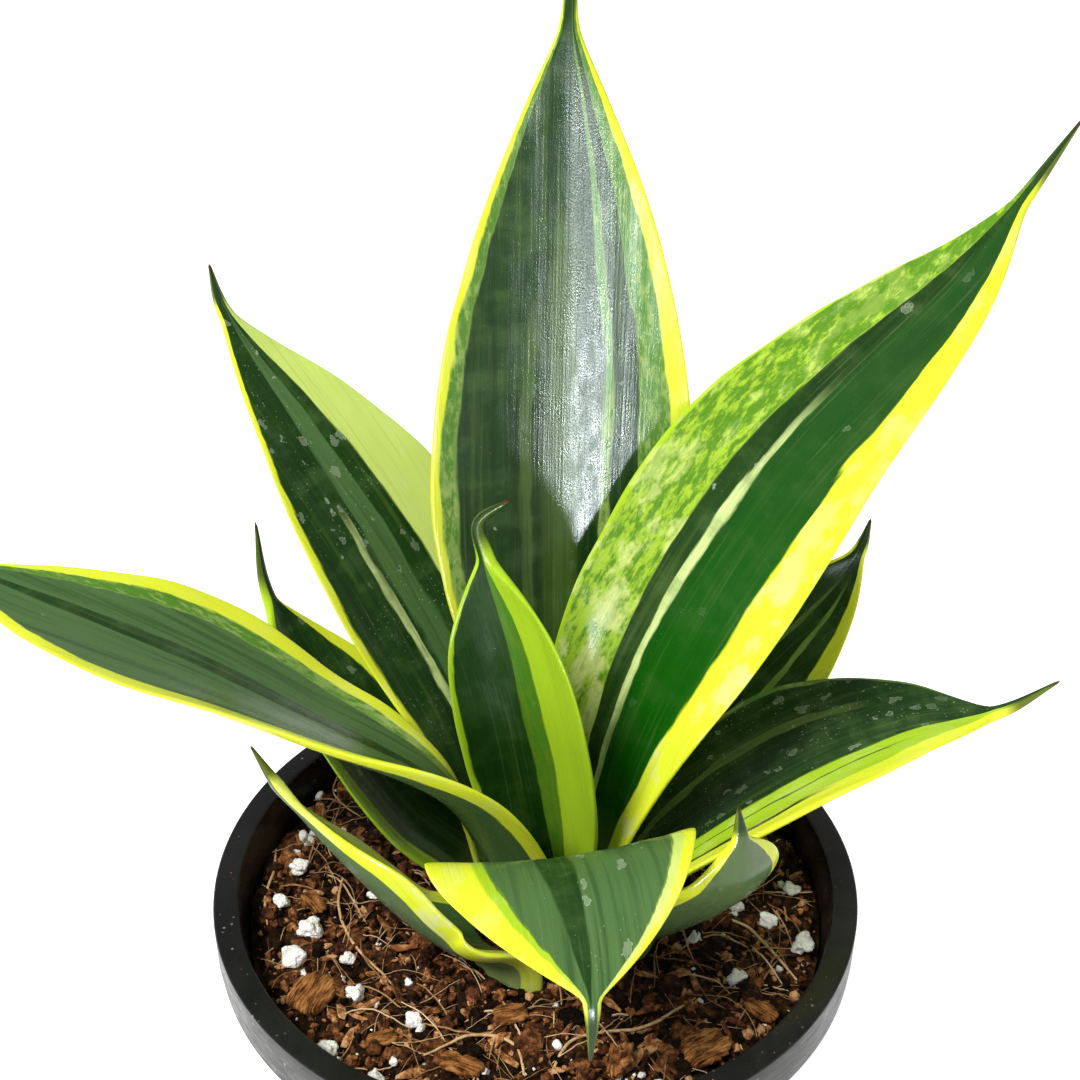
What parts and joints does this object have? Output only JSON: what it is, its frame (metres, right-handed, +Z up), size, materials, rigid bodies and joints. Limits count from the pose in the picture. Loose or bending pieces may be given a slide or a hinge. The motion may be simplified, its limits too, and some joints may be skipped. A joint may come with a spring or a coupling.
{
  "type": "potted snake plant",
  "caption": "young variegated snake plant, a rosette of pointed yellow-edged leaves rooted in gritty potting mix in a round tapered black nursery pot with a rolled rim",
  "frame": {"origin": "middle of the pot's flat base, on the surface it stands on", "axes": "+Z up along the pot's axis, +X to the right and +Y to the back as the plant is seen from its front"},
  "size_m": [0.189, 0.11, 0.236],
  "materials": {
    "pot_plastic": "black moulded plastic, satin, dusty on the rim",
    "potting_mix": "rough damp peat, coir and bark fines",
    "leaf": "waxy satin, dark green and mottled grey green with yellow margins",
    "perlite": "rough, white",
    "bark": "rough, grained",
    "coir": "dry, fibrous"
  },
  "bodies": {
    "root": {"pot": "pot_plastic", "potting_mix": "potting_mix", "leaf_centre_back": "leaf", "leaf_upper_right": "leaf", "leaf_upper_left": "leaf", "leaf_long_left": "leaf", "leaf_low_left": "leaf", "leaf_front_left": "leaf", "leaf_front": "leaf", "leaf_front_right": "leaf", "leaf_young": "leaf", "leaf_back_right": "leaf", "leaf_right": "leaf", "perlite_01": "perlite", "perlite_02": "perlite", "perlite_03": "perlite", "perlite_04": "perlite", "perlite_05": "perlite", "perlite_06": "perlite", "perlite_07": "perlite", "perlite_08": "perlite", "perlite_09": "perlite", "perlite_10": "perlite", "perlite_11": "perlite", "perlite_12": "perlite", "perlite_13": "perlite", "perlite_14": "perlite", "perlite_15": "perlite", "perlite_16": "perlite", "perlite_17": "perlite", "perlite_18": "perlite", "bark_chip_01": "bark", "bark_chip_02": "bark", "bark_chip_03": "bark", "bark_chip_04": "bark", "bark_chip_05": "bark", "bark_chip_06": "bark", "bark_chip_07": "bark", "bark_chip_08": "bark", "bark_chip_09": "bark", "bark_chip_10": "bark", "bark_chip_11": "bark", "bark_chip_12": "bark", "coir_fibre_01": "coir", "coir_fibre_02": "coir", "coir_fibre_03": "coir", "coir_fibre_04": "coir", "coir_fibre_05": "coir", "coir_fibre_06": "coir"}
  },
  "joints": []
}
